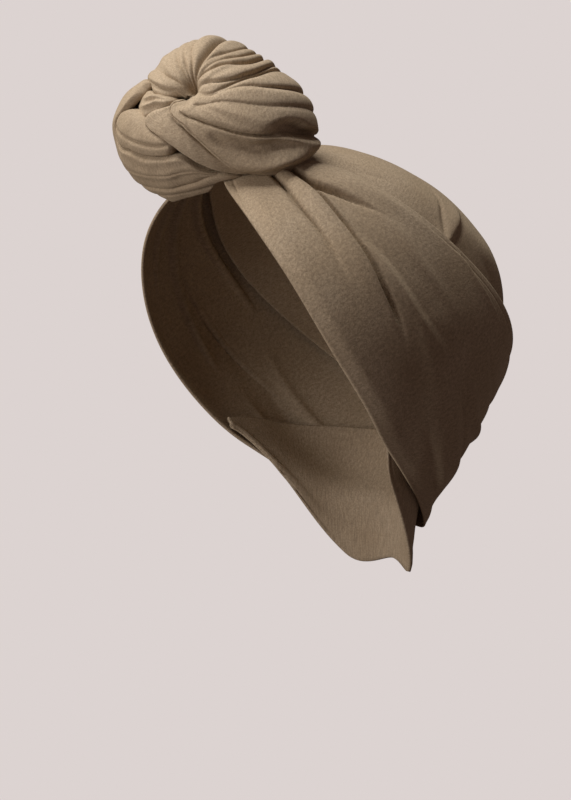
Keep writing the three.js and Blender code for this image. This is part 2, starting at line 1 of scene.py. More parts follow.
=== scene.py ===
import math
import bmesh
import bpy
import numpy as np
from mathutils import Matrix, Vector


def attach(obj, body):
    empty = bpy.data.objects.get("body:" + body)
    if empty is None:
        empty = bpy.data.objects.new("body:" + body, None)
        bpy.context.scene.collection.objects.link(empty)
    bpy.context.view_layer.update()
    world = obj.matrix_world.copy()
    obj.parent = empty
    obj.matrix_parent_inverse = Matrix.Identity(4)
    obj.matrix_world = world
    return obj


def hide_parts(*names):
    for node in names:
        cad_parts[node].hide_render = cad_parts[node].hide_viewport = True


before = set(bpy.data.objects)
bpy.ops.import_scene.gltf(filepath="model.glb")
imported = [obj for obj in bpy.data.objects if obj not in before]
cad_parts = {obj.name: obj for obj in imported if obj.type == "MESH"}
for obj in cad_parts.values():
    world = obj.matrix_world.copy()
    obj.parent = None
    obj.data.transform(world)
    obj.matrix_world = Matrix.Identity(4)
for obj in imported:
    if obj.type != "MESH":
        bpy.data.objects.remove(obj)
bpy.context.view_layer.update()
mm = 0.001  # one millimetre in metres

# sizes of the wearer's head that the wrap is wound to, in millimetres and degrees
head = {
    "halfWidth": 73.4, "halfLength": 92.1, "halfHeight": 81.3,
    "neckRadius": 44.5, "neckBack": 4.0, "neckBlend": 8.0,
    "fullness": [  # round from the back, elevation, rise, wide, tall
        (0, 1.2, 5.6, 50, 27),
        (0, -58, 9.5, 50, 14),
        (180, 14, 4.5, 40, 40),
    ],
    "knotTilt": 28.6,
}
# how the layers of cloth lie on each other, in millimetres
layers = {
    "wall": 1.8, "gap": 0.65,          # room for one layer, and the air under the next
    "seen": 1.5,                       # thickness of the cloth itself
    "sidePuff": 2.8, "rim": 9.0,       # how far the side layers stand off the head, and how soon behind an edge
    "press": 14.0, "crownRim": 22.0,   # how wide a layer is pressed flat beside the one that lies over it
    "napeEase": 1.0,                   # slack at the nape
    "frontCurl": 1.3, "topCurl": 1.6,  # radius of the turned edges
    "rollTall": 1.2, "rollAt": 2.8, "rollWide": 2.4,  # the doubled cloth along the top edge
    "hemAt": 7.0, "hemWide": 0.6,      # the stitched line behind it
    "deepest": 2.2, "deepestUnder": 0.4,  # how far a fold may sink in the outer layer, and in the one under it
}
centre = np.array([0.0, 0.0, -head["halfHeight"]])


def smoothStep(x, a, b):
    t = np.clip((x - a) / (b - a), 0, 1)
    return t * t * (3 - 2 * t)


def fade(x, start, end, margin):
    return smoothStep(x, start, start + margin) * (1 - smoothStep(x, end - margin, end))


def unit(v):
    return v / np.linalg.norm(v, axis=-1, keepdims=True)


def compass(turnRound, elevation):
    r, e = math.radians(turnRound), math.radians(elevation)
    return np.array([math.sin(r) * math.cos(e), math.cos(r) * math.cos(e), math.sin(e)])


def smoothLine(rows):
    # a smooth curve through the rows; the first column is what it is read by
    table = np.array(rows, dtype=float)
    stops, values = table[:, 0], table[:, 1:]
    last = len(stops) - 1
    before, after = np.maximum(np.arange(last + 1) - 1, 0), np.minimum(np.arange(last + 1) + 1, last)
    slope = (values[after] - values[before]) / (stops[after] - stops[before])[:, None]

    def read(x):
        x = np.clip(x, stops[0], stops[-1])
        i = np.clip(np.searchsorted(stops, x, side="right") - 1, 0, last - 1)
        span = (stops[i + 1] - stops[i])[:, None]
        t = (x - stops[i])[:, None] / span
        y = (values[i] * (2 * t**3 - 3 * t**2 + 1) + slope[i] * span * (t**3 - 2 * t**2 + t)
             + values[i + 1] * (3 * t**2 - 2 * t**3) + slope[i + 1] * span * (t**3 - t**2))
        return y.T
    return read


def headReach(d):
    x, y, z = d.T
    reach = 1 / np.sqrt((x / head["halfWidth"])**2 + (y / head["halfLength"])**2 + (z / head["halfHeight"])**2)
    for turnRound, elevation, rise, wide, tall in head["fullness"]:
        ahead = d @ compass(turnRound, elevation)
        sideways = np.degrees(np.arctan2(d @ compass(turnRound + 90, 0), ahead))
        upwards = np.degrees(np.arctan2(d @ compass(turnRound, elevation + 90), ahead))
        reach = reach + rise * np.exp(-(sideways / wide)**2 - (upwards / tall)**2)
    flat = np.maximum(np.hypot(x, y), 1e-3)
    along, across = y * head["neckBack"] / flat, x * head["neckBack"] / flat
    neck = (np.sqrt(head["neckRadius"]**2 - across**2) + along) / flat
    joined = (reach + neck + np.hypot(reach - neck, head["neckBlend"])) / 2
    share = smoothStep(-z, 0.2, 0.6)
    return reach * (1 - share) + joined * share


knotAxis = compass(180, 90 - head["knotTilt"])
backAxis = compass(0, head["knotTilt"])
leftAxis = np.array([1.0, 0.0, 0.0])


def wrapDirection(along, turn):
    a, t = np.radians(along)[:, None], np.radians(turn)[:, None]
    return np.cos(a) * knotAxis + np.sin(a) * (np.cos(t) * backAxis + np.sin(t) * leftAxis)


def wrapPlace(d):
    along = np.degrees(np.arccos(np.clip(d @ knotAxis, -1, 1)))
    return along, np.degrees(np.arctan2(d @ leftAxis, d @ backAxis))


def layerStart(layer):
    return layer * (layers["wall"] + layers["gap"])


def waves(u, v, seed, size, tall):
    # soft unevenness of hand-wound cloth: a few long ripples with fixed phases
    rng = np.random.default_rng(seed)
    total = np.zeros_like(u)
    for k in range(7):
        across, down = rng.uniform(0.5, 1.6), rng.uniform(0.12, 0.5)
        total += np.sin(6.28 * (u * across + v * down * rng.choice([-1, 1])) / size + rng.uniform(0, 6.28))
    return tall * total / 7


# Creases, laps and rolls in the cloth. Each line is rows of along, turn and amount in millimetres. A crease
# is a sharp groove, a roll a soft ridge and a shoulder a soft bend, high on the side of the front edge. At a
# lap one layer lies over the next: overTop is the layer on the side of the top edge, which has the lower
# turn, and overFront the one on the side of the front edge
def foldRelief(along, turn, mmPerTurn, folds):
    total = np.zeros_like(along)
    for kind, wide, line in folds:
        at, amount = smoothLine(line)(along)
        amount = np.where((along >= line[0][0]) & (along <= line[-1][0]), np.maximum(amount, 0), 0)
        off = (turn - at) * mmPerTurn
        if kind == "crease":
            total -= amount * np.exp(-np.abs(off / wide)**1.4)
        elif kind == "roll":
            total += amount * np.exp(-(off / wide)**2)
        elif kind == "shoulder":
            total += amount * np.where(off > 0, np.exp(-(off / wide)**2), 1 - smoothStep(-off, -0.8, 4.6))
        else:
            total += amount * lap(-off if kind == "overTop" else off, wide)
    return total


def lap(inside, wide):
    # the rounded edge of a layer and its slow fall behind it, and the dip where it presses on the next one
    rounded = np.sqrt(1 - (1 - np.clip(inside / 1.5, 0, 1))**2)
    return rounded * np.exp(-np.maximum(inside, 0) / wide) - 0.35 * np.exp(-np.abs(inside / 0.8)**1.5)


def finishPiece(name, node, bm):
    # the finished cloth takes the place of the plain solid of its node
    mesh = bpy.data.meshes.new(name)
    bm.to_mesh(mesh)
    bm.free()
    for polygon in mesh.polygons:
        polygon.use_smooth = True
    mesh.materials.append(cloth)
    piece = bpy.data.objects.new(name, mesh)
    bpy.context.collection.objects.link(piece)
    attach(piece, "root")
    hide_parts(node)
    print("made", name, len(mesh.polygons), "faces")
    return piece


def gridPiece(name, node, cells, place, size, thickness, middle):
    # a flat grid of cloth is bent to its place, then given the cloth's thickness on its inner side
    bm = bmesh.new()
    bmesh.ops.create_grid(bm, x_segments=cells[0], y_segments=cells[1], size=0.5)
    flat = np.array([v.co[:2] for v in bm.verts]) + 0.5
    uvLayer = bm.loops.layers.uv.new("cloth")
    for face in bm.faces:
        for loop in face.loops:
            spot = flat[loop.vert.index]
            loop[uvLayer].uv = (spot[0] * size[0], spot[1] * size[1])
    points = place(flat[:, 0], flat[:, 1])
    for v, p in zip(bm.verts, points * mm):
        v.co = p
    bm.normal_update()
    inside = Vector(middle * mm)
    if sum(face.normal.dot(face.calc_center_median() - inside) for face in bm.faces) < 0:
        bmesh.ops.reverse_faces(bm, faces=bm.faces)
    piece = finishPiece(name, node, bm)
    wall = piece.modifiers.new("wall", "SOLIDIFY")
    wall.thickness = thickness * mm
    wall.offset = -1
    return piece


def hexToLinear(text):
    rgb = [int(text[i:i + 2], 16) / 255 for i in (1, 3, 5)]
    return [c / 12.92 if c <= 0.04045 else ((c + 0.055) / 1.055)**2.4 for c in rgb] + [1.0]


def addNode(tree, kind, values=None, links=None, **settings):
    node = tree.nodes.new(kind)
    for key, value in settings.items():
        setattr(node, key, value)
    for key, value in (values or {}).items():
        node.inputs[key].default_value = value
    for key, socket in (links or {}).items():
        tree.links.new(socket, node.inputs[key])
    return node


jersey = {
    "lit": "#b19f88", "shade": "#a49179", "fleck": "#897760",
    "wale": 0.9,      # mm from one knitted column to the next, drawn a little coarser than the real 0.8
    "heather": 0.8,   # mm, size of the yarn's colour flecks
    "cloud": 38.0,    # mm, size of the worn and stretched patches
    "fleckShare": 0.62, "threadDark": 0.83, "threadLight": 1.22,
    "bump": 0.45, "bumpDepth": 0.0003,  # metres
    "roughness": 0.9, "specular": 0.25, "ior": 1.46,
    "sheen": 0.2, "sheenRoughness": 0.5, "sheenTint": "#d8cba8",
}


def makeJersey(name):
    # viscose jersey: knitted from matt spun yarn, so it is soft, nearly without gloss, with fine columns
    material = bpy.data.materials.new(name)
    material.use_nodes = True
    tree = material.node_tree
    tree.nodes.clear()
    place = addNode(tree, "ShaderNodeTexCoord")
    spot = addNode(tree, "ShaderNodeTexCoord")
    clouds = addNode(tree, "ShaderNodeTexNoise", {"Scale": 1000 / jersey["cloud"], "Detail": 3.0},
                     {"Vector": spot.outputs["Object"]})
    flecks = addNode(tree, "ShaderNodeTexNoise",
                     {"Scale": 1000 / jersey["heather"], "Detail": 4.0, "Roughness": 0.7},
                     {"Vector": spot.outputs["Object"]})
    stretch = addNode(tree, "ShaderNodeMapping", {"Scale": (0.4 / jersey["wale"], 1 / jersey["wale"], 1.0)},
                      {"Vector": place.outputs["UV"]})
    yarn = addNode(tree, "ShaderNodeTexNoise", {"Scale": 1.0, "Detail": 2.0, "Roughness": 0.6},
                   {"Vector": stretch.outputs["Vector"]})
    soft = addNode(tree, "ShaderNodeValToRGB", None, {"Fac": clouds.outputs["Fac"]})
    soft.color_ramp.elements[0].position = 0.35
    soft.color_ramp.elements[1].position = 0.68
    soft.color_ramp.elements[0].color = hexToLinear(jersey["shade"])
    soft.color_ramp.elements[1].color = hexToLinear(jersey["lit"])
    mark = addNode(tree, "ShaderNodeMapRange",
                   {"From Min": 0.42, "From Max": 0.64, "To Min": 0.0, "To Max": jersey["fleckShare"]},
                   {"Value": flecks.outputs["Fac"]})
    mixed = addNode(tree, "ShaderNodeMix", None, {"Factor": mark.outputs["Result"]}, data_type="RGBA")
    tree.links.new(soft.outputs["Color"], mixed.inputs["A"])
    mixed.inputs["B"].default_value = hexToLinear(jersey["fleck"])
    threads = addNode(tree, "ShaderNodeMapRange",
                      {"From Min": 0.3, "From Max": 0.7,
                       "To Min": jersey["threadDark"], "To Max": jersey["threadLight"]},
                      {"Value": yarn.outputs["Fac"]})
    shaded = addNode(tree, "ShaderNodeMix", {"Factor": 1.0}, None, data_type="RGBA", blend_type="MULTIPLY")
    tree.links.new(mixed.outputs["Result"], shaded.inputs["A"])
    tree.links.new(threads.outputs["Result"], shaded.inputs["B"])
    height = addNode(tree, "ShaderNodeMath", None, None, operation="ADD")
    tree.links.new(yarn.outputs["Fac"], height.inputs[0])
    tree.links.new(flecks.outputs["Fac"], height.inputs[1])
    bump = addNode(tree, "ShaderNodeBump", {"Strength": jersey["bump"], "Distance": jersey["bumpDepth"]},
                   {"Height": height.outputs["Value"]})
    surface = addNode(tree, "ShaderNodeBsdfPrincipled",
                      {"Roughness": jersey["roughness"], "Sheen Weight": jersey["sheen"],
                       "Sheen Roughness": jersey["sheenRoughness"],
                       "Sheen Tint": hexToLinear(jersey["sheenTint"]),
                       "Specular IOR Level": jersey["specular"], "IOR": jersey["ior"]},
                      {"Base Color": shaded.outputs["Result"], "Normal": bump.outputs["Normal"]})
    addNode(tree, "ShaderNodeOutputMaterial", None, {"Surface": surface.outputs["BSDF"]})
    return material


cloth = makeJersey("viscose jersey, olive beige")
print("material ready")

leftWrap = {
    # front along, front turn, top along, top turn
    "sections": [
        (10, 148, 10, 64), (22, 139, 22, 74), (38, 129, 36, 66.5), (60, 123, 58, 61.5), (84, 120, 81, 54),
        (107, 117, 101, 44.5), (125, 115, 117, 32), (143, 110, 130, 12), (157, 103, 141, -14),
        (168, 98, 150, -42), (178, 90, 157, -64), (173, -90, 161, -82), (165, -96, 163, -93),
    ],
    "cells": (245, 195), "size": (110, 260), "uneven": 0.3,
    "folds": [
        # the groove beside the flat front panel, and the soft tube of cloth behind it
        ("crease", 0.9, [(12, 104.2, 2.2), (28, 104.3, 3.4), (39, 105.1, 3.6), (49, 104.5, 2.8),
                         (58, 104.5, 1.4), (68, 104.7, 0.0)]),
        ("roll", 4.2, [(10, 97, 1.4), (24, 97.2, 2.2), (40, 97.6, 2.2), (54, 98.4, 1.5), (68, 99.2, 0.7),
                       (82, 100, 0.0)]),
        # the deepest pleat, which runs on to a dark pocket at the side of the head
        ("crease", 0.8, [(12, 93, 2.0), (28, 93, 3.0), (37, 92.8, 3.6), (47, 93.6, 3.6), (57, 93.9, 3.4),
                         (66, 94.4, 3.8), (75, 95.3, 5.0), (81, 95.4, 5.0), (85, 95.6, 3.6), (89, 96, 1.4),
                         (94, 96.4, 0.0)]),
        ("overFront", 7.0, [(14, 93.4, 0.8), (28, 93.4, 1.4), (40, 93.4, 1.6), (57, 94.2, 1.6), (72, 95.2, 1.6),
                            (84, 95.8, 0.8), (92, 96.2, 0.0)]),
        ("roll", 0.9, [(24, 91.4, 0.0), (30, 91.4, 0.6), (37, 91.4, 0.8), (47, 91.8, 0.7), (57, 91.6, 0.3),
                       (66, 91.6, 0.0)]),
        # the short pleat that turns up under the big roll along the top edge
        ("crease", 1.3, [(20, 94, 1.4), (30, 92.6, 3.0), (35, 91.6, 3.6), (39, 89.4, 3.2), (42, 86.2, 2.6),
                         (46, 83.6, 1.8), (50, 81.0, 0.9), (55, 77.8, 0.0)]),
        ("overTop", 11.0, [(20, 92.5, 0.8), (30, 91.6, 2.2), (35, 90.6, 2.8), (39, 88.4, 2.6), (43, 85.2, 2.0),
                           (48, 82.0, 1.2), (54, 78.4, 0.5), (60, 74.6, 0.0)]),
        ("roll", 6.0, [(14, 84, 0.8), (28, 82, 1.6), (40, 77.5, 1.8), (52, 71.5, 1.4), (64, 66, 0.8),
                       (78, 62, 0.0)]),
        ("roll", 3.2, [(44, 81, 0.0), (57, 77.7, 0.8), (64, 76.9, 1.0), (73, 77.2, 1.0), (84, 75.5, 0.7),
                       (98, 73, 0.0)]),
        # the long soft edge from the side pleat down to the nape, lit in front and dark behind
        ("shoulder", 9.0, [(50, 94.4, 0.0), (56, 94.0, 0.8), (62, 92.4, 1.8), (68, 91.0, 2.4), (74, 90.2, 2.6),
                           (83, 89, 2.4), (92, 87.6, 1.9), (102, 84.2, 1.0), (112, 80.5, 0.0)]),
        # the doubled cloth along the top edge
        ("overFront", 3.4, [(70, 58.2, 0.0), (76, 57.8, 0.9), (82, 57.4, 1.7), (89, 57.0, 2.4), (94, 56.2, 2.6),
                            (100, 54.6, 2.6), (108, 51.8, 2.5), (115, 47.0, 2.2), (121, 40.4, 1.8),
                            (130, 31, 1.0), (140, 18, 0.0)]),
        ("crease", 0.6, [(18, 133, 0.0), (24, 131.4, 0.5), (28, 130.0, 0.4), (34, 128, 0.0)]),
        # folds gathered towards the nape
        ("roll", 3.4, [(128, 88, 0.0), (140, 90, 1.2), (148, 88.4, 2.0), (157, 84.7, 1.6), (168, 80, 0.0)]),
        ("roll", 3.4, [(120, 82, 0.0), (132, 82, 1.0), (142, 80.3, 1.8), (150, 77, 1.6), (162, 72, 0.0)]),
        ("roll", 3.6, [(114, 72, 0.0), (126, 69.6, 1.3), (136, 64.4, 2.0), (145, 49, 2.0), (152, 32, 1.0),
                       (158, 20, 0.0)]),
        ("crease", 2.2, [(124, 96, 0.0), (134, 96, 1.4), (143, 95.0, 2.4), (152, 91.7, 2.6), (162, 86, 1.4),
                         (172, 82, 0.0)]),
        ("crease", 2.2, [(118, 76, 0.0), (130, 75.4, 1.4), (141, 73, 2.6), (149, 66, 2.4), (156, 56, 1.0),
                         (164, 40, 0.0)]),
        ("crease", 2.6, [(110, 60, 0.0), (122, 56, 1.0), (132, 46, 1.6), (142, 28, 1.8), (149, 8, 1.0),
                         (154, -10, 0.0)]),
    ],
    # the end of the cloth is tucked in at the nape and stands off it a little: its place in degrees, how far it
    # stands off, and how soon that fades along, in front and behind
    "tail": {"along": 165, "turn": 93, "tall": 5.6, "long": 6, "front": 8, "behind": 4.5},
}
rightWrap = {
    "sections": [
        (10, 146, 10, 60), (22, 138, 22, 69), (38, 129, 36, 62), (60, 123, 58, 57), (84, 120, 81, 50),
        (107, 117, 101, 41), (125, 115, 117, 28), (143, 110, 130, 10), (157, 103, 141, -14),
        (167, 92, 151, -42), (175, 80, 161, -66),
    ],
    "cells": (195, 160), "size": (110, 240), "uneven": 0.3,
    "folds": [
        ("overTop", 5.0, [(12, 113, 1.0), (30, 113, 2.0), (46, 112.4, 2.0), (62, 111.4, 1.2),
                          (80, 110.5, 0.0)]),
        ("crease", 0.9, [(12, 113.2, 1.4), (30, 113.3, 2.2), (50, 112.3, 1.8), (66, 111.4, 0.8),
                         (80, 110.8, 0.0)]),
        ("crease", 1.2, [(12, 102, 2.0), (30, 102, 3.0), (52, 101.6, 3.0), (72, 101, 2.6), (92, 99.6, 2.6),
                         (104, 98.5, 0.0)]),
        ("overTop", 4.0, [(20, 101, 0.8), (34, 101, 2.0), (56, 100.6, 1.8), (78, 100, 1.4), (98, 98.8, 0.0)]),
        ("crease", 1.3, [(20, 91, 1.2), (32, 90, 2.8), (46, 87, 2.8), (60, 83, 2.2), (76, 78, 1.2),
                         (94, 74, 0.0)]),
        ("overTop", 9.0, [(20, 90, 0.8), (32, 89, 2.6), (46, 86, 2.8), (60, 82, 2.0), (76, 77.4, 1.2),
                          (94, 73, 0.0)]),
        ("overFront", 8.0, [(62, 97, 0.0), (78, 94.5, 1.2), (94, 91, 1.6), (110, 86, 1.2), (126, 80, 0.0)]),
        ("overFront", 6.0, [(62, 55, 0.0), (78, 54, 1.0), (92, 52, 1.6), (106, 47, 1.6), (118, 38, 1.2),
                            (132, 20, 0.0)]),
        ("roll", 3.4, [(112, 84, 0.0), (128, 84, 1.4), (144, 82, 2.0), (156, 76, 1.4), (166, 70, 0.0)]),
        ("crease", 2.4, [(104, 76, 0.0), (120, 77, 1.2), (138, 74, 2.2), (152, 66, 1.6), (164, 56, 0.0)]),
        ("crease", 2.4, [(114, 95, 0.0), (128, 95, 1.4), (144, 93, 2.2), (158, 87, 1.2), (170, 82, 0.0)]),
    ],
}
topHem = smoothLine([(64, 0.0), (84, 0.4), (128, 0.4), (140, 0.0)])  # depth of the stitched line at each along
leftTop = smoothLine([(row[2], row[3]) for row in leftWrap["sections"]])
rightTop = smoothLine([(row[2], row[3]) for row in rightWrap["sections"]])
leftFront = smoothLine([row[:2] for row in leftWrap["sections"][:9]])
rightFront = smoothLine([row[:2] for row in rightWrap["sections"][:9]])


def mmPerTurnAt(along):
    return math.radians(1) * head["halfWidth"] * np.sin(np.radians(along))


def edgeCurl(distance, radius):
    # how far a folded edge has curled inwards, this far from the edge
    t = np.clip(1 - distance / radius, 0, 1)
    return radius * (1 - np.sqrt(np.maximum(1 - t * t, 0)))


def makeWrap(name, node, wrap, side, layer, seed):
    fronts = wrapDirection(*np.array([row[:2] for row in wrap["sections"]], float).T)
    tops = wrapDirection(*np.array([row[2:] for row in wrap["sections"]], float).T)
    edges = smoothLine(np.column_stack([np.arange(len(fronts)), fronts, tops]))

    def place(across, down):
        rows = edges(down * (len(fronts) - 1))
        front, top = unit(rows[:3].T), unit(rows[3:].T)
        sweep = np.arccos(np.clip((front * top).sum(1), -1, 1))[:, None]
        width = head["halfWidth"] * sweep[:, 0] * 1.15
        d = unit(front * np.sin((1 - across[:, None]) * sweep) + top * np.sin(across[:, None] * sweep))
        along, turn = wrapPlace(d)
        perTurn = mmPerTurnAt(along)
        inFront, above = width * across, width * (1 - across)
        nearEdge = np.minimum(inFront, above)
        puff = (layers["sidePuff"] * smoothStep(along, 8, 45) * (1 - 0.5 * smoothStep(along, 90, 135))
                * smoothStep(nearEdge, -1, layers["rim"]))
        folds = foldRelief(along, turn, perTurn, wrap["folds"]) * smoothStep(nearEdge, 0, 4)
        folds += waves(turn * perTurn, along * 1.4, seed, 40, wrap["uneven"]) * smoothStep(nearEdge, 0, 12)
        roll = np.exp(-((above - layers["rollAt"]) / layers["rollWide"])**2)
        folds += layers["rollTall"] * roll * smoothStep(along, 20, 40)
        folds -= topHem(along)[0] * np.exp(-((above - layers["hemAt"]) / layers["hemWide"])**2)
        deepest = layers["deepest"] * (1 - smoothStep(along, 108, 128)) if side > 0 else layers["deepestUnder"]
        relief = np.maximum(puff + folds, -deepest)
        clear = 99 if side > 0 else (leftTop(along)[0] + turn) * perTurn
        ease = layers["napeEase"] * smoothStep(along, 130, 150)
        tail = wrap.get("tail")
        if tail:
            beside = (turn - tail["turn"]) * perTurn
            beside = np.where(beside > 0, beside / tail["front"], beside / tail["behind"])
            ease = ease + tail["tall"] * np.exp(-((along - tail["along"]) / tail["long"])**2 - beside**2)
        lift = layerStart(layer) + ease + relief * smoothStep(clear, 0, layers["press"]) + layers["wall"]
        lift = lift - edgeCurl(inFront, layers["frontCurl"]) - edgeCurl(above, layers["topCurl"])
        d = d * np.array([side, 1, 1])
        return centre + d * (headReach(d) + lift)[:, None]
    return gridPiece(name, node, wrap["cells"], place, wrap["size"], layers["seen"], centre)


crown = {
    "sections": [(10, 74), (22, 86), (38, 82), (60, 78), (84, 71), (107, 61), (125, 50), (140, 36), (150, 22)],
    "full": [(20, 0.0), (30, 2.2), (40, 2.9), (60, 3.5), (72, 4.4), (85, 5.1), (92, 5.6), (98, 5.0), (104, 3.9),
             (112, 2.6), (124, 0.8), (134, 0.0)],
    "cells": (170, 160), "size": (150, 210), "reach": 88,  # mm from the head's middle to the tuck
    # the tuck that stands up beside the left wrap: turn, along and how tall, then how far in front of its lip it
    # starts and how short its drop behind the lip is
    "tuck": [(24, 75, 0.0), (30, 75.4, 0.4), (36, 76, 1.2), (42, 76.8, 2.0), (48, 77.6, 2.2), (54, 78.6, 2.0),
             (62, 80, 1.4)],
    "tuckRise": 6.5, "tuckDrop": 1.6,
    "folds": [
        ("crease", 1.3, [(59, 26, 0.0), (64, 31, 0.8), (67, 34, 1.2), (70, 43, 1.6), (75, 50, 1.2),
                         (78, 54, 0.0)]),
        ("crease", 4.0, [(24, 30, 0.6), (40, 27, 0.6), (60, 20, 0.3), (84, 14, 0.0)]),
        ("crease", 1.2, [(36, 52, 0.0), (42, 51, 0.6), (48, 49, 0.5), (54, 47, 0.0)]),
        ("crease", 4.5, [(24, -24, 1.2), (46, -22, 1.2), (70, -18, 0.6), (92, -14, 0.0)]),
        ("crease", 2.6, [(30, -44, 1.2), (48, -42, 1.2), (66, -38, 0.6), (84, -34, 0.0)]),
        ("roll", 6.0, [(26, 4, 0.8), (50, 2, 1.0), (78, 0, 0.5), (100, 0, 0.0)]),
        ("crease", 2.0, [(88, 40, 0.0), (96, 38, 0.8), (104, 37, 0.8), (114, 34, 0.0)]),
    ],
}


def crownPlace(across, down):
    along = crown["sections"][0][0] + down * (crown["sections"][-1][0] - crown["sections"][0][0])
    half = smoothLine(crown["sections"])(along)[0]
    turn = (2 * across - 1) * half
    d = wrapDirection(along, turn)
    perTurn = mmPerTurnAt(along)
    clear = np.minimum(leftTop(along)[0] - turn, rightTop(along)[0] + turn) * perTurn
    full = smoothLine(crown["full"])(along)[0] * smoothStep(clear, 0, layers["crownRim"])
    at, rise = smoothLine(crown["tuck"])(turn)
    rise = rise * smoothStep(turn, 24, 30)
    off = np.radians(along - at) * crown["reach"]
    # the cloth in front of the tuck rises slowly to its lip, and drops behind it
    lip = np.where(off < 0, np.exp(-(off / crown["tuckRise"])**2),
                   np.sqrt(1 - np.clip(off / crown["tuckDrop"], 0, 1)**2))
    tuck = rise * (lip - 0.3 * np.exp(-((off - 3.4) / 2.6)**2))
    folds = foldRelief(along, turn, perTurn, crown["folds"]) * fade(along, 18, 128, 12)
    folds = folds + waves(turn * perTurn, along * 1.4, 5, 44, 0.4)
    relief = full + folds * smoothStep(clear, 0, 8) + tuck * smoothStep(clear, -2, 4)
    return centre + d * (headReach(d) + np.maximum(relief, 0) + layers["wall"])[:, None]


nape = {
    "low": [(-94.5, -39.5), (-90, -42), (-71, -57), (-34, -66.5), (0, -66.5), (34, -67.2), (71, -58.5),
            (90, -42), (94.5, -39.5)],
    "top": -35, "cells": (50, 170), "size": (40, 200), "mmPerDegree": 1.5,
    "wave": 0.3, "hemDepth": 0.7, "hemAt": 3.2, "hemWide": 0.8, "curl": 1.3,
    # the soft bulge behind the left ear: its place in degrees, how far it stands off, and how wide it is
    "bulge": {"round": 38, "elevation": -57, "tall": 4.5, "wide": 15, "high": 8},
}


def napePlace(across, roundShare):
    turnRound = nape["low"][0][0] * (1 - 2 * roundShare)
    low = smoothLine(nape["low"])(turnRound)[0]
    elevation = nape["top"] + (low - nape["top"]) * across
    r, e = np.radians(turnRound), np.radians(elevation)
    d = np.column_stack([np.sin(r) * np.cos(e), np.cos(r) * np.cos(e), np.sin(e)])
    fromLow = (1 - across) * (nape["top"] - low) * nape["mmPerDegree"]
    bulge = nape["bulge"]
    ripples = 1 + np.sin(turnRound / 5.5 + across * 3)
    lift = layers["wall"] + nape["wave"] * ripples * smoothStep(across, 0.55, 0.8)
    lift = lift - nape["hemDepth"] * np.exp(-((fromLow - nape["hemAt"]) / nape["hemWide"])**2)
    lift = lift - edgeCurl(fromLow, nape["curl"])
    lift = lift + bulge["tall"] * np.exp(-((turnRound - bulge["round"]) / bulge["wide"])**2
                                         - ((elevation - bulge["elevation"]) / bulge["high"])**2)
    return centre + d * (headReach(d) + lift)[:, None]


bun = {
    "seat": (177.9, 60.2), "rise": 27.1, "turn": 29, "lift": 12,
    "frontDepth": 34.0, "backDepth": 36.0, "halfWidth": 49.0,
    "outline": [1.0, 0.79, 0.71, 0.76, 0.76, 0.77, 1.01, 1.0, 0.9, 0.81, 0.83, 1.02],
    "core": 16.0, "least": 10.0, "wall": 1.5, "bareSeat": 1.0, "seatGap": 0.6,
    "eye": (68, 8.5), "eyeDips": [(7.0, 6.5), (3.6, 15)],  # the dips' depth in millimetres and width in degrees
}
foot = compass(*bun["seat"])
bunCentre = centre + foot * (headReach(foot[None, :])[0] + bun["rise"])
bunAxis = compass(180 - bun["turn"], bun["lift"])
bunRight = np.array([math.cos(math.radians(bun["turn"])), math.sin(math.radians(bun["turn"])), 0])
bunUp = np.cross(bunAxis, bunRight)
around = [(30 * i, bun["outline"][i % 12] * bun["halfWidth"]) for i in range(-2, 15)]
outlineAround = smoothLine(around)


def bunDirection(turn, polar):
    t, p = np.radians(turn)[:, None], np.radians(polar)[:, None]
    return np.cos(p) * bunAxis + np.sin(p) * (np.cos(t) * bunRight + np.sin(t) * bunUp)


eyeAxis = bunDirection(np.array([bun["eye"][0]], float), np.array([bun["eye"][1]], float))[0]


def bunReach(turn, polar):
    outline = outlineAround(np.mod(turn, 360))[0]
    depth = np.where(polar < 90, bun["frontDepth"], bun["backDepth"])
    return 1 / np.hypot(np.cos(np.radians(polar)) / depth, np.sin(np.radians(polar)) / outline)


def seatReach(d):
    def inside(distance):
        point = bunCentre + d * distance[:, None] - centre
        away = np.linalg.norm(point, axis=1)
        spot = point / away[:, None]
        along, turn = wrapPlace(spot)
        edge = np.where(turn > 0, leftFront(along)[0], rightFront(along)[0])
        openBy = (np.abs(turn) - edge) * mmPerTurnAt(along)
        wrapped = layerStart(2) + layers["wall"] + layers["sidePuff"] * smoothStep(along, 8, 45)
        share = smoothStep(openBy, 0.4, 9)
        return away < headReach(spot) + wrapped * (1 - share) + bun["bareSeat"] * share
    far = np.full(len(d), 200.0)
    found = np.zeros(len(d), bool)
    for distance in np.arange(0, 100, 4.0):
        hit = inside(np.full(len(d), distance)) & ~found
        far[hit] = distance
        found |= hit
    near = far - 4
    for step in range(10):
        middle = (near + far) / 2
        hit = inside(middle)
        far = np.where(hit & found, middle, far)
        near = np.where(~hit & found, middle, near)
    return np.where(found, near - bun["seatGap"], 999.0)


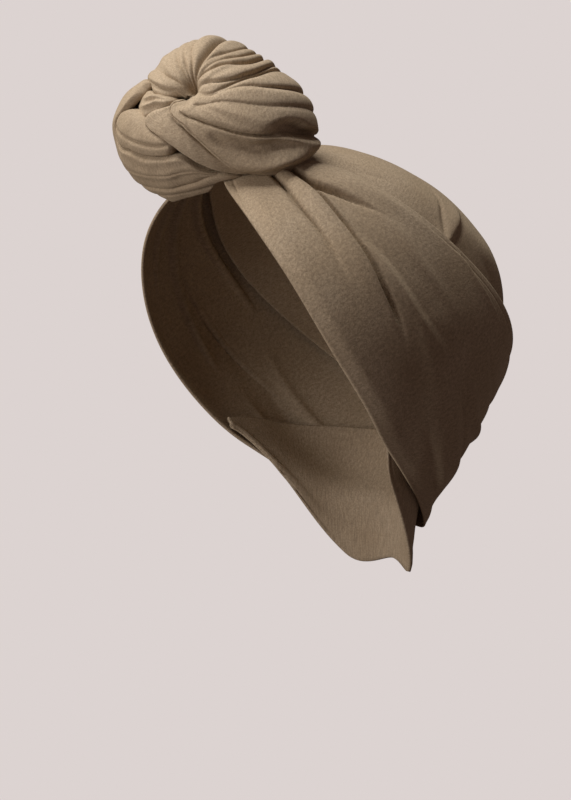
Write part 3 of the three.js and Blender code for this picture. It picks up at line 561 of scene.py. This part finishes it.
# turns at these distances from the eye's axis, for each crease of the fan, then how deep it is there, its
# width, and how full the cloth is between it and the next one
fanStations = [4, 9, 15, 22, 30, 40, 50, 60, 75, 95, 120, 160]
fan = {
    "sections": [  # turn and polar of the hemmed edge, then of the edge over the loop
        (-170, 4, 160, 4), (-166, 10, 163, 9), (-146, 15, 174, 14.5), (-112, 19.5, 178.5, 20),
        (-92, 24, 175.5, 26.5), (-76.5, 34, 170, 35.5), (-69, 42.5, 164, 42), (-63.5, 52, 158.5, 50.5),
        (-59.3, 62, 156.3, 62), (-55.5, 70, 155.3, 76), (-50.5, 78, 154.6, 88), (-44, 86, 154, 99),
        (-33, 94, 153, 112), (-19, 108, 151, 128), (-8, 128, 148, 147), (-2, 158, 144, 168),
    ],
    "cells": (295, 160), "size": (150, 90),
    "creases": [
        ("edge", [-190, -175, -146, -98, -82, -71, -65, -60, -52.5, -32, -12, -2], [0] * 12, 1.0, 1.6),
        ("lower panel", [-140, -120, -85, -60, -47.5, -38.5, -32.8, -27.2, -19.3, -13.3, -6, 0],
         [0, 0, 0.6, 1.0, 1.4, 1.8, 2.2, 2.4, 2.4, 2.0, 1.0, 0.4], 1.0, 1.8),
        ("faint", [-60, -50, -34, -20, -10, -7, -6, -4.5, -1, 3, 6, 8],
         [0.2, 0.5, 0.6, 0.5, 0.4, 0.5, 0.6, 0.8, 1.0, 1.0, 0.6, 0.2], 1.4, 1.0),
        ("dark", [10, 12, 4, -0.7, 5.5, 10, 11.5, 10.4, 11, 14, 17, 19],
         [0.4, 1.0, 1.2, 0.9, 0.8, 1.0, 1.2, 1.6, 2.4, 3.0, 2.0, 1.0], 1.3, 1.5),
        ("branch", [20, 22, 10, 4, 9.5, 16, 20.5, 23, 29, 34, 38, 40],
         [0, 0, 0.2, 0.6, 1.0, 2.0, 3.0, 3.2, 3.0, 2.6, 1.6, 0.8], 1.0, 0.8),
        ("second", [52, 54, 44, 33, 23.5, 21.5, 24, 26.5, 33, 42, 47, 50],
         [0.4, 1.0, 1.2, 1.4, 1.6, 1.8, 1.8, 2.2, 2.8, 2.8, 2.0, 1.0], 0.9, 1.6),
        ("third", [64, 68, 70, 61, 54, 48, 41.5, 38.5, 43, 52, 60, 64],
         [0.4, 1.4, 2.0, 2.0, 2.0, 2.0, 2.2, 2.6, 3.2, 3.0, 2.0, 1.0], 1.0, 1.5),
        ("wrinkle", [66, 69.5, 71.5, 66, 61, 57, 52, 49, 52, 60, 66, 70],
         [0, 0, 0, 0.2, 0.4, 0.8, 1.2, 1.6, 1.8, 1.6, 1.0, 0.4], 0.8, 1.1),
        ("wrinkle above", [67.5, 70.3, 72.3, 70.5, 68, 66, 62, 60, 62, 69, 74, 78],
         [0, 0, 0, 0, 0.3, 0.7, 1.0, 1.3, 1.4, 1.2, 0.8, 0.4], 0.8, 1.0),
        ("top", [69, 71, 73, 73.5, 74.5, 75.5, 77.5, 79.7, 81.3, 84, 88, 90],
         [0.4, 1.8, 2.6, 2.4, 2.2, 2.6, 4.0, 5.6, 6.0, 4.0, 2.0, 1.0], 1.3, 0.9),
        ("upright", [74, 75, 77.5, 83, 88, 94, 97, 99, 101, 104, 106, 108],
         [0.2, 1.2, 2.2, 1.8, 1.4, 1.0, 0.7, 0.4, 0.2, 0.1, 0.1, 0.1], 0.9, 0.5),
        ("fine left", [79, 80, 86, 93, 99, 104, 106, 107, 109, 112, 114, 116],
         [0, 0.6, 1.2, 1.2, 0.9, 0.6, 0.3, 0.2, 0.1, 0, 0, 0], 0.7, 0.6),
        ("short", [84, 85, 95, 104, 110, 113.5, 115, 116, 118, 120, 122, 124],
         [0, 0.6, 1.4, 1.4, 0.9, 0.4, 0.2, 0.1, 0.1, 0.1, 0.1, 0.1], 0.9, 0.8),
        ("lobe", [120, 112, 122, 132, 138, 141, 143, 144, 145, 145, 144, 138],
         [0, 0.4, 1.0, 1.0, 0.6, 0.3, 0.1, 0, 0, 0, 0, 0], 0.7, 0.9),
        ("last", [150, 146, 157, 161, 159.5, 157, 155.5, 155, 154.5, 154, 151, 144],
         [0, 0.8, 1.8, 2.0, 2.0, 1.6, 0.6, 0, 0, 0, 0, 0], 0.8, 0.0),
    ],
    # the lip of the lower panel, the hollow under it and the swelling along the hem: polar, turn, amount
    "lip": [(14, 0.0), (20, 0.6), (31, 1.2), (43, 1.8), (52, 2.2), (60, 2.6), (75, 3.2), (90, 3.2), (108, 1.6),
            (130, 0.0)],
    "hollow": [(36, -50, 0.0), (44, -48, 1.6), (52, -42, 3.0), (60, -37, 4.0), (67, -31, 4.4), (73, -26, 4.0),
               (84, -21, 1.8), (96, -18, 0.0)],
    "swell": [(40, -70, 0.0), (50, -63, 0.8), (60, -55, 2.0), (66, -49, 3.2), (72, -42, 4.2), (78, -33, 4.4),
              (89, -22, 3.4), (104, -14, 1.6), (124, -8, 0.0)],
    "pocketTop": [(52, -24), (57, -18), (63, -13.4), (71.6, -8.4), (81.4, -7), (88.7, -8), (104, -6)],
    # the first pleats lie over each other like tiles; the tongue is the raised cloth at the eye
    "pocketDepth": 7.5, "tiled": 9, "wrinkles": 0.13, "tongue": 0.9,
    "edgeA": 2.0, "edgeB": 4.5, "drop": 5.0, "crowd": 0.0, "stitch": 2.3, "stitchDepth": 0.7,
    "seed": 3, "uneven": 0.3,
}


def fanRelief(turn, polar, across, down):
    perTurn = np.radians(1) * bunReach(turn, polar) * np.sin(np.radians(polar))
    read = [smoothLine(np.column_stack([fanStations, row[1], row[2]]))(polar) for row in fan["creases"]]
    out = smoothStep(polar, 7, 18)
    total = np.zeros_like(turn)
    for i, (_, _, _, wide, full) in enumerate(fan["creases"]):
        line, deep = read[i]
        total -= np.maximum(deep, 0) * out * np.exp(-np.abs((turn - line) * perTurn / wide)**1.3)
        if i + 1 < len(read):
            gap = np.maximum(read[i + 1][0] - line, 0.5)
            share = (turn - line) / gap
            inside = (share >= 0) & (share < 1)
            thin = np.minimum(1, gap * perTurn / 7)
            even = 1 - np.abs(2 * share - 1)**2.2
            # each pleat on the right lies over the one below it: high at its lower edge, falling to the next
            tiled = np.sqrt(1 - (1 - np.clip(share * gap * perTurn / 1.1, 0, 1))**2)
            tiled = tiled * (1 - 0.8 * np.clip(share, 0, 1))
            profile = tiled * 0.75 + even * 0.25 if i < fan["tiled"] else even
            total += np.where(inside, full * out * thin * profile - 0.3, 0)
    total -= 1.2 * smoothStep((turn - read[-1][0]) * perTurn, 0, 1.2)
    lip = smoothLine(fan["lip"])(polar)[0]
    under = (read[1][0] - turn) * perTurn
    total += np.maximum(lip, 0) * lap(under, 4.0)
    for name, wide, sign in (("hollow", 4.0, -1), ("swell", 5.0, 1)):
        at, amount = smoothLine(fan[name])(polar)
        inside = (polar > fan[name][0][0]) & (polar < fan[name][-1][0])
        total += sign * np.where(inside, np.maximum(amount, 0), 0) * np.exp(-((turn - at) * perTurn / wide)**2)
    # the deep dark pocket at the right, between the lower panel's lip and the pleat above it
    share = (turn - read[1][0]) / np.maximum(smoothLine(fan["pocketTop"])(polar)[0] - read[1][0], 1)
    inPocket = smoothStep(share, 0.0, 0.16) * (1 - smoothStep(share, 0.45, 1.05))
    total -= fan["pocketDepth"] * inPocket * smoothStep(polar, 58, 84) * (1 - smoothStep(polar, 96, 112))
    # fine wrinkles that run with the pleats
    fine = np.sin(np.radians(turn * 17 + 40 * np.sin(np.radians(polar * 3))))
    fine = fine + np.sin(np.radians(turn * 29 - polar * 2))
    total += fan["wrinkles"] * fine * out * fade(polar, 12, 120, 20)
    # the little tongue of cloth beside the eye
    tongue = fan["tongue"] * np.exp(-((polar - 12) / 3.0)**2)
    return total + tongue * smoothStep(turn, -128, -100) * (1 - smoothStep(turn, -30, 5))


def eyeDip(d):
    away = np.degrees(np.arccos(np.clip(d @ eyeAxis, -1, 1)))
    return sum(depth * np.exp(-(away / wide)**2) for depth, wide in bun["eyeDips"])


def makeStrand(name, node, strand, relief=None):
    sections = np.array(strand["sections"], float)
    rows = smoothLine(np.column_stack([np.arange(len(sections)), sections]))

    def place(across, down):
        # crowd the grid's lines at both edges, where the cloth turns in
        crowd = across - strand.get("crowd", 0.1) * np.sin(2 * np.pi * (2 * across)) / 2
        row = rows(down * (len(sections) - 1))
        turnA, polarA, turnB, polarB = row[:4]
        lift = row[4] if len(row) > 4 else 0
        turn = turnA + (turnB - turnA) * crowd
        polar = polarA + (polarB - polarA) * crowd
        d = bunDirection(turn, polar)
        a, b = bunDirection(turnA, polarA), bunDirection(turnB, polarB)
        reach = bunReach(turn, polar)
        width = np.arccos(np.clip((a * b).sum(1), -1, 1)) * reach
        if strand is fan:  # the fan spreads too far round for the straight angle between its edges
            width = np.abs(turnB - turnA) * np.radians(1) * reach * np.sin(np.radians(polar))
        fromA, fromB = width * crowd, width * (1 - crowd)
        outer = reach + lift - eyeDip(d)
        if relief is not None:
            outer = outer + relief(turn, polar, across, down)
        if "stitch" in strand:
            outer = outer - strand["stitchDepth"] * np.exp(-((fromA - strand["stitch"]) / 0.5)**2)
        outer = outer + strand.get("bulge", 0) * (1 - np.abs(2 * crowd - 1)**2)
        half = np.maximum(width / 2, 0.5)
        for fromEdge, curl in ((fromA, strand["edgeA"]), (fromB, strand["edgeB"])):
            outer = outer - edgeCurl(fromEdge, np.minimum(curl, half)) * strand["drop"] / curl
        if "length" in strand:  # both ends turn under too
            outer = outer - edgeCurl(down * strand["length"], 4) - edgeCurl((1 - down) * strand["length"], 4)
        outer = outer + waves(turn * 0.6, polar * 0.6, strand["seed"], 14, strand["uneven"])
        held = np.maximum(np.minimum(outer, seatReach(d)), bun["least"])
        return bunCentre + d * held[:, None]
    return gridPiece(name, node, strand["cells"], place, strand["size"], bun["wall"], bunCentre)


# The narrower turns of the bun. Each section has the turn and polar of both edges, then how far the cloth stands
# off the bun's own form. The edges turn under over edgeA and edgeB, as deep as drop, and bulge rounds the middle
strap = {
    "sections": [
        (218, 11, 204, 10, -2.5), (234, 17, 198, 23, -1.8), (257, 20, 196, 33, -1.2), (272, 25, 203, 40, -0.8),
        (282, 31, 229, 37.5, -0.6), (290, 38.5, 248, 39.5, -0.6), (297, 50, 264, 45, -0.6),
        (303, 60, 277, 53.5, -0.7), (308, 68, 287, 62, -0.9), (311, 75, 295, 69, -1.3),
        (313, 82, 302, 75, -2.2),
    ],
    "cells": (60, 120), "size": (16, 75), "length": 75,
    "edgeA": 2.0, "edgeB": 2.2, "drop": 4.5, "bulge": 0.8, "seed": 4, "uneven": 0.3,
}
innerCoil = {
    "sections": [
        (184, 51, 183, 68, -2.0), (188, 47.5, 188, 74, -1.0), (194, 44, 194, 76, -0.5),
        (203, 40.5, 204, 71.5, -0.3), (214, 39, 214, 63, -0.3), (226, 37, 226, 58, -0.5),
        (240, 36, 240, 53, -0.9), (254, 39.5, 254, 49, -2.2),
    ],
    "cells": (60, 90), "size": (22, 60), "length": 60,
    "edgeA": 3.0, "edgeB": 2.2, "drop": 4.5, "bulge": 1.4, "seed": 6, "uneven": 0.3,
    # the crease that parts the oval from the thin roll under it
    "crease": [(184, 74, 0.0), (192, 68, 0.8), (203, 60, 1.6), (219, 50.5, 1.8), (236, 44.5, 1.6),
               (250, 40.2, 1.0)],
    "creaseFrom": 184, "creaseTo": 256, "creaseWide": 0.9,
}
outerLoop = {
    "sections": [
        (155, 46, 152, 64, -0.8), (163, 46.5, 162, 84, -0.2), (171, 46.5, 171, 97, 0.1),
        (178, 51, 180, 105, 0.3), (184, 59, 190, 108, 0.5), (189, 68, 200, 106, 0.6), (197, 72, 210, 100, 0.6),
        (205, 70, 220, 92, 0.6), (214, 62.5, 230, 85, 0.6), (226, 58, 242, 78.5, 0.4),
        (240, 52.5, 256, 74, 0.2), (255, 48.5, 268, 71.5, -0.1), (266, 50, 279, 70.5, -0.6),
        (279, 60, 289, 70, -1.2), (291, 68, 295, 72, -2.4),
    ],
    "crease": [(158, 66, 0.0), (163, 68, 0.7), (172, 72, 0.9), (181, 78, 0.9), (188, 84, 0.5), (194, 88, 0.0)],
    "creaseFrom": 158, "creaseTo": 194, "creaseWide": 0.8, "ripples": 0.2,
    "cells": (70, 190), "size": (26, 130), "length": 130,
    "edgeA": 1.8, "edgeB": 2.0, "drop": 4.5, "bulge": 0.6, "seed": 7, "uneven": 0.4,
}
upperRoll = {
    "sections": [
        (205, 100, 208, 110, -0.6), (219, 90, 222, 99, 0.4), (233, 80.5, 237, 88, 0.6),
        (246, 75, 250, 80.5, 0.6), (259, 71, 262, 77, 0.5), (271, 68, 275, 75, 0.3), (283, 66, 289, 75, 0.0),
        (294, 69, 299, 77, -0.6), (302, 75, 306, 80, -2.0),
    ],
    "cells": (36, 120), "size": (9, 85), "length": 85,
    "edgeA": 1.8, "edgeB": 1.6, "drop": 4.0, "bulge": 0.8, "seed": 8, "uneven": 0.3,
}
lowerRoll = {
    "sections": [
        (209, 110, 214, 126, -2.0), (223, 99, 227, 124, 0.2), (237, 88, 240, 121, 0.8),
        (250, 80, 254, 119, 0.8), (262, 76.5, 267, 119, 0.5), (275, 74.5, 279, 121, 0.2),
        (289, 74.5, 292, 123, 0.0), (300, 77, 305, 125, -0.6), (312, 84, 320, 130, -3.0),
    ],
    "cells": (60, 120), "size": (26, 90), "length": 90,
    "edgeA": 1.8, "edgeB": 3.0, "drop": 4.5, "bulge": 0.8, "seed": 9, "uneven": 0.4,
}
backCoil = {
    "sections": [
        (152, 66, 148, 158, -1.4), (162, 86, 166, 168, -0.6), (175, 100, 184, 171, -0.4),
        (188, 109, 200, 172, -0.4), (204, 119, 220, 172, -0.4), (221, 124, 240, 172, -0.8),
        (238, 119, 260, 172, -0.8), (258, 117, 280, 172, -0.8), (281, 119, 302, 172, -0.8),
        (306, 122, 325, 170, -1.6), (330, 126, 350, 166, -2.6),
    ],
    "cells": (50, 110), "size": (60, 110), "length": 110,
    "edgeA": 3.0, "edgeB": 3.0, "drop": 5.0, "bulge": 0.4, "seed": 10, "uneven": 0.8,
}
tuck = {
    "sections": [
        (176, 10, 208, 10, -3.0), (170, 18, 205, 19, -2.4), (168, 26, 202, 27, -2.2), (168, 32, 201, 34, -2.4),
        (166, 37, 200, 38.5, -2.6), (164, 42.5, 198.5, 42.5, -2.8), (164, 48.5, 196, 48, -3.6),
        (166, 55, 192, 54, -5.0),
    ],
    "cells": (80, 80), "size": (18, 32), "length": 34,
    "edgeA": 2.0, "edgeB": 2.0, "drop": 3.0, "seed": 11, "uneven": 0.1,
    # two soft folds that run out from the eye into the gap: polar, then the turn of each
    "ridges": [(8, 190, 202), (16, 184, 195), (26, 176.5, 186.5), (31, 175, 186.8), (41, 176, 186),
               (48, 173, 183), (56, 172, 182)],
}


def grooveAlong(strand, turn, polar):
    at, depth = smoothLine(strand["crease"])(turn)
    off = (polar - at) * np.radians(1) * bunReach(turn, polar)
    inside = (turn > strand["creaseFrom"]) & (turn < strand["creaseTo"])
    return np.where(inside, -np.maximum(depth, 0) * np.exp(-np.abs(off / strand["creaseWide"])**1.4), 0)


def coilRelief(turn, polar, across, down):
    return grooveAlong(innerCoil, turn, polar)


def loopRelief(turn, polar, across, down):
    ripples = np.sin(2 * np.pi * (4.6 * across + 0.5 * np.sin(7 * down))) * np.clip(down * 3 - 0.6, 0, 1)
    return grooveAlong(outerLoop, turn, polar) + outerLoop["ripples"] * ripples


def tuckRelief(turn, polar, across, down):
    perTurn = np.radians(1) * bunReach(turn, polar) * np.sin(np.radians(polar))
    first, second = smoothLine(tuck["ridges"])(polar)
    folds = 1.6 * np.exp(-((turn - first) * perTurn / 1.2)**2)
    folds = folds + 2.0 * np.exp(-((turn - second) * perTurn / 1.3)**2)
    return folds * (1 - 0.85 * smoothStep(polar, 34, 47)) - 0.5


made = [
    makeWrap("jersey_wrap_left", "wrap_left", leftWrap, 1, 2, 21),
    makeWrap("jersey_wrap_right", "wrap_right", rightWrap, -1, 1, 22),
    gridPiece("jersey_crown", "crown_panel", crown["cells"], crownPlace, crown["size"], layers["seen"], centre),
    gridPiece("jersey_nape", "nape_fold", nape["cells"], napePlace, nape["size"], layers["seen"], centre),
    makeStrand("bun_pleated_fan", "bun_fan", fan, fanRelief),
    makeStrand("bun_twisted_strap", "bun_strap", strap),
    makeStrand("bun_oval_coil", "bun_inner_coil", innerCoil, coilRelief),
    makeStrand("bun_round_loop", "bun_outer_loop", outerLoop, loopRelief),
    makeStrand("bun_roll_upper", "bun_upper_roll", upperRoll),
    makeStrand("bun_roll_lower", "bun_lower_roll", lowerRoll),
    makeStrand("bun_coil_behind", "bun_back_coil", backCoil),
    makeStrand("bun_pushed_folds", "bun_tuck", tuck, tuckRelief),
]


def makeCore():
    # the start of the twist, dark at the bottom of the eye and of the gaps
    mmPerDegree = 0.28
    bm = bmesh.new()
    bmesh.ops.create_icosphere(bm, subdivisions=5, radius=1.0)
    d = unit(np.array([v.co[:] for v in bm.verts]))
    twist = np.degrees(np.arctan2(d @ bunUp, d @ bunRight))
    polar = np.degrees(np.arccos(np.clip(d @ bunAxis, -1, 1)))
    reach = bun["core"] + 1.2 * np.cos(np.radians(twist * 7 + polar * 3)) * np.sin(np.radians(polar))
    reach = np.minimum(reach, seatReach(d) - 2)
    for v, p in zip(bm.verts, (bunCentre + d * reach[:, None]) * mm):
        v.co = p
    uvLayer = bm.loops.layers.uv.new("cloth")
    for face in bm.faces:
        for loop in face.loops:
            i = loop.vert.index
            loop[uvLayer].uv = (polar[i] * mmPerDegree, abs(twist[i]) * mmPerDegree)
    return finishPiece("bun_twist_start", "knot_core", bm)


made.append(makeCore())
print("cloth made")

studio = {
    "background": "#dcd3d1", "fill": "#ffe0d6", "fillStrength": 0.095,
    "floor": "#d9d0cd", "floorDrop": 0.9, "floorRadius": 3.0, "floorGlow": 0.7,
    # name, metres to the left, up and near, size in metres, watts and colour
    "lights": [("window", 0.89, 0.08, 0.48, 0.9, 6.1, "#fffaf6"),
               ("skylight", 0.3, 0.98, 0.24, 0.7, 11.0, "#fffdfa")],
}


def plainMaterial(name, colour):
    # matt paint on the studio floor, with a glow of its own so that it reads as pale as the background
    material = bpy.data.materials.new(name)
    material.use_nodes = True
    surface = material.node_tree.nodes["Principled BSDF"]
    surface.inputs["Base Color"].default_value = hexToLinear(colour)
    surface.inputs["Roughness"].default_value = 0.9
    surface.inputs["Emission Color"].default_value = hexToLinear(colour)
    surface.inputs["Emission Strength"].default_value = studio["floorGlow"]
    return material


bm = bmesh.new()
bmesh.ops.create_circle(bm, cap_ends=True, segments=96, radius=studio["floorRadius"])
bmesh.ops.translate(bm, verts=bm.verts, vec=(0, 0, -studio["floorDrop"]))
floorMesh = bpy.data.meshes.new("studio_floor")
bm.to_mesh(floorMesh)
bm.free()
floor = bpy.data.objects.new("studio_floor", floorMesh)
bpy.context.collection.objects.link(floor)
floorMesh.materials.append(plainMaterial("matt floor paint", studio["floor"]))
floor.visible_diffuse = False
floor.visible_glossy = False
floor.visible_shadow = False

world = bpy.data.worlds.new("studio")
bpy.context.scene.world = world
world.use_nodes = True
tree = world.node_tree
tree.nodes.clear()
rays = addNode(tree, "ShaderNodeLightPath")
dim = addNode(tree, "ShaderNodeBackground",
              {"Color": hexToLinear(studio["fill"]), "Strength": studio["fillStrength"]})
seen = addNode(tree, "ShaderNodeBackground", {"Color": hexToLinear(studio["background"]), "Strength": 1.0})
either = addNode(tree, "ShaderNodeMixShader", None, {"Fac": rays.outputs["Is Camera Ray"]})
tree.links.new(dim.outputs["Background"], either.inputs[1])
tree.links.new(seen.outputs["Background"], either.inputs[2])
addNode(tree, "ShaderNodeOutputWorld", None, {"Surface": either.outputs["Shader"]})

view = {"azimuth": 55, "distance": 1.5, "target": (-0.00977, -0.0075, -0.11716), "lens": 197.0}
toCamera = np.array([math.sin(math.radians(view["azimuth"])), -math.cos(math.radians(view["azimuth"])), 0])
pictureRight = np.array([math.cos(math.radians(view["azimuth"])), math.sin(math.radians(view["azimuth"])), 0])
target = np.array(view["target"])


def aim(thing, place, spot):
    thing.location = place
    thing.rotation_euler = (Vector(spot) - Vector(place)).to_track_quat("-Z", "Y").to_euler()


def addLight(name, left, up, near, size, power, colour):
    lamp = bpy.data.lights.new(name, "AREA")
    lamp.shape = "DISK"
    lamp.size = size
    lamp.energy = power
    lamp.color = hexToLinear(colour)[:3]
    thing = bpy.data.objects.new(name, lamp)
    bpy.context.collection.objects.link(thing)
    aim(thing, target - pictureRight * left + toCamera * near + np.array([0, 0, up]), target)


for row in studio["lights"]:
    addLight(*row)

cameraData = bpy.data.cameras.new("photo view")
camera = bpy.data.objects.new("photo view", cameraData)
bpy.context.collection.objects.link(camera)
cameraData.sensor_fit = "HORIZONTAL"
cameraData.sensor_width = 36
cameraData.lens = view["lens"]
cameraData.clip_end = 50
aim(camera, target + toCamera * view["distance"], target)
bpy.context.scene.camera = camera
bpy.context.scene.view_settings.view_transform = "Standard"
print("studio ready")
